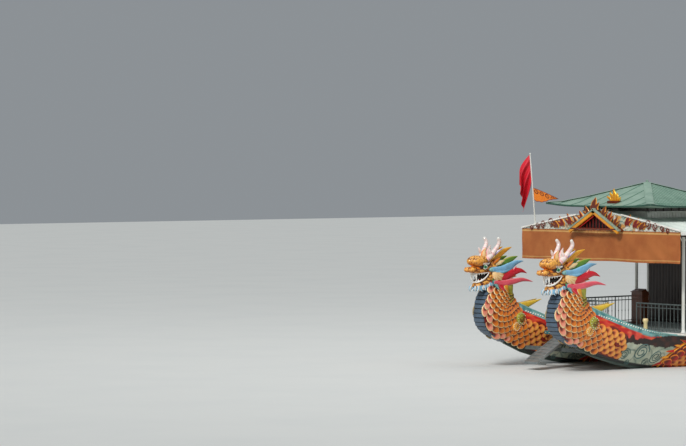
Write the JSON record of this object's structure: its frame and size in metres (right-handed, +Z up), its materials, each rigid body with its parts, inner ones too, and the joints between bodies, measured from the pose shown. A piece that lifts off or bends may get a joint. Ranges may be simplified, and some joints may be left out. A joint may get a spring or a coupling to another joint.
{
  "type": "twin-hull dragon boat",
  "caption": "Twin-hull excursion boat with a dragon's head at each bow and a tail at each stern, an open pavilion and a cabin under one gable roof.",
  "frame": {"origin": "on the waterline, amidships on the boat's centreline, where the water holds it up", "axes": "+X to the bow, +Y to port, +Z up"},
  "size_m": [16.9393, 6.06, 6.5205],
  "materials": {
    "hull_paint": "gloss enamel over steel",
    "bottom_paint": "matt bottom paint",
    "carved_head": "enamelled carving",
    "mane_paint": "enamelled carving",
    "bronze": "cast",
    "grey_steel": "grey paint",
    "deck_paint": "worn grey paint",
    "white_paint": "white paint",
    "varnished_wood": "varnished",
    "roof_metal": "ribbed sheet, faded",
    "upper_roof_metal": "ribbed sheet, faded",
    "gable_paint": "gold and red paint",
    "banner_cloth": "printed cloth, blank",
    "red_cloth": "plain weave",
    "orange_cloth": "plain weave"
  },
  "bodies": {
    "boat": {"hull_port": "hull_paint", "hull_starboard": "hull_paint", "neck_port": "hull_paint", "neck_starboard": "hull_paint", "tail_port": "hull_paint", "tail_starboard": "hull_paint", "keel_port": "bottom_paint", "keel_starboard": "bottom_paint", "skull_port": "carved_head", "skull_starboard": "carved_head", "jaw_port": "carved_head", "jaw_starboard": "carved_head", "mane_port": "mane_paint", "mane_starboard": "mane_paint", "crossbeam_front": "grey_steel", "crossbeam_middle": "grey_steel", "crossbeam_aft": "grey_steel", "deck": "deck_paint", "post_front_port": "white_paint", "post_front_starboard": "white_paint", "post_rear_port": "white_paint", "post_rear_starboard": "white_paint", "railing_port": "grey_steel", "railing_starboard": "grey_steel", "railing_front_port": "grey_steel", "railing_front_starboard": "grey_steel", "helm_pedestal": "varnished_wood", "cabin_wall_port": "white_paint", "cabin_wall_starboard": "white_paint", "cabin_bulkhead_front": "white_paint", "cabin_bulkhead_aft": "white_paint", "bench_port": "varnished_wood", "bench_starboard": "varnished_wood", "main_roof": "roof_metal", "front_gable": "gable_paint", "clerestory": "gable_paint", "upper_roof": "upper_roof_metal", "banner": "banner_cloth", "flagpole": "white_paint", "flag": "red_cloth", "pennant": "orange_cloth"},
    "ramp": {"boarding_ramp": "deck_paint"},
    "front_door": {"door_front": "varnished_wood"},
    "aft_door": {"door_aft": "varnished_wood"},
    "helm": {"steering_wheel": "varnished_wood"},
    "port_propeller": {"propeller_port": "bronze"},
    "starboard_propeller": {"propeller_starboard": "bronze"},
    "port_rudder": {"rudder_port": "bottom_paint"},
    "starboard_rudder": {"rudder_starboard": "bottom_paint"}
  },
  "joints": [
    {"name": "ramp_hinge", "type": "hinge", "parent": "boat", "child": "ramp", "pos_m": [5.9253, 0, 0.93], "axis": [0, -1, 0], "range_deg": [0, 100]},
    {"name": "front_door_hinge", "type": "hinge", "parent": "boat", "child": "front_door", "pos_m": [0.4, 0.4297, 0.97], "axis": [0, 0, 1], "range_deg": [0, 100]},
    {"name": "aft_door_hinge", "type": "hinge", "parent": "boat", "child": "aft_door", "pos_m": [-5.8, 0.4297, 0.97], "axis": [0, 0, -1], "range_deg": [0, 100]},
    {"name": "port_rudder_turn", "type": "hinge", "parent": "boat", "child": "port_rudder", "pos_m": [-6.4, 1.4, -0.3], "axis": [0, 0, 1], "range_deg": [-35, 35]},
    {"name": "starboard_rudder_turn", "type": "hinge", "parent": "boat", "child": "starboard_rudder", "pos_m": [-6.4, -1.4, -0.3], "axis": [0, 0, 1], "range_deg": [-35, 35]},
    {"name": "steering_wheel_turn", "type": "hinge", "parent": "boat", "child": "helm", "pos_m": [1.3397, -1.5, 1.7], "axis": [1, 0, 0], "range_deg": [-540, 540]},
    {"name": "port_propeller_turn", "type": "hinge", "parent": "boat", "child": "port_propeller", "pos_m": [-6.0603, 1.4, -0.48], "axis": [1, 0, 0], "continuous": true},
    {"name": "starboard_propeller_turn", "type": "hinge", "parent": "boat", "child": "starboard_propeller", "pos_m": [-6.0603, -1.4, -0.48], "axis": [1, 0, 0], "continuous": true}
  ],
  "couplings": [
    {"joint": "starboard_rudder_turn", "follows": "port_rudder_turn", "ratio": 1},
    {"joint": "steering_wheel_turn", "follows": "port_rudder_turn", "ratio": 15}
  ]
}
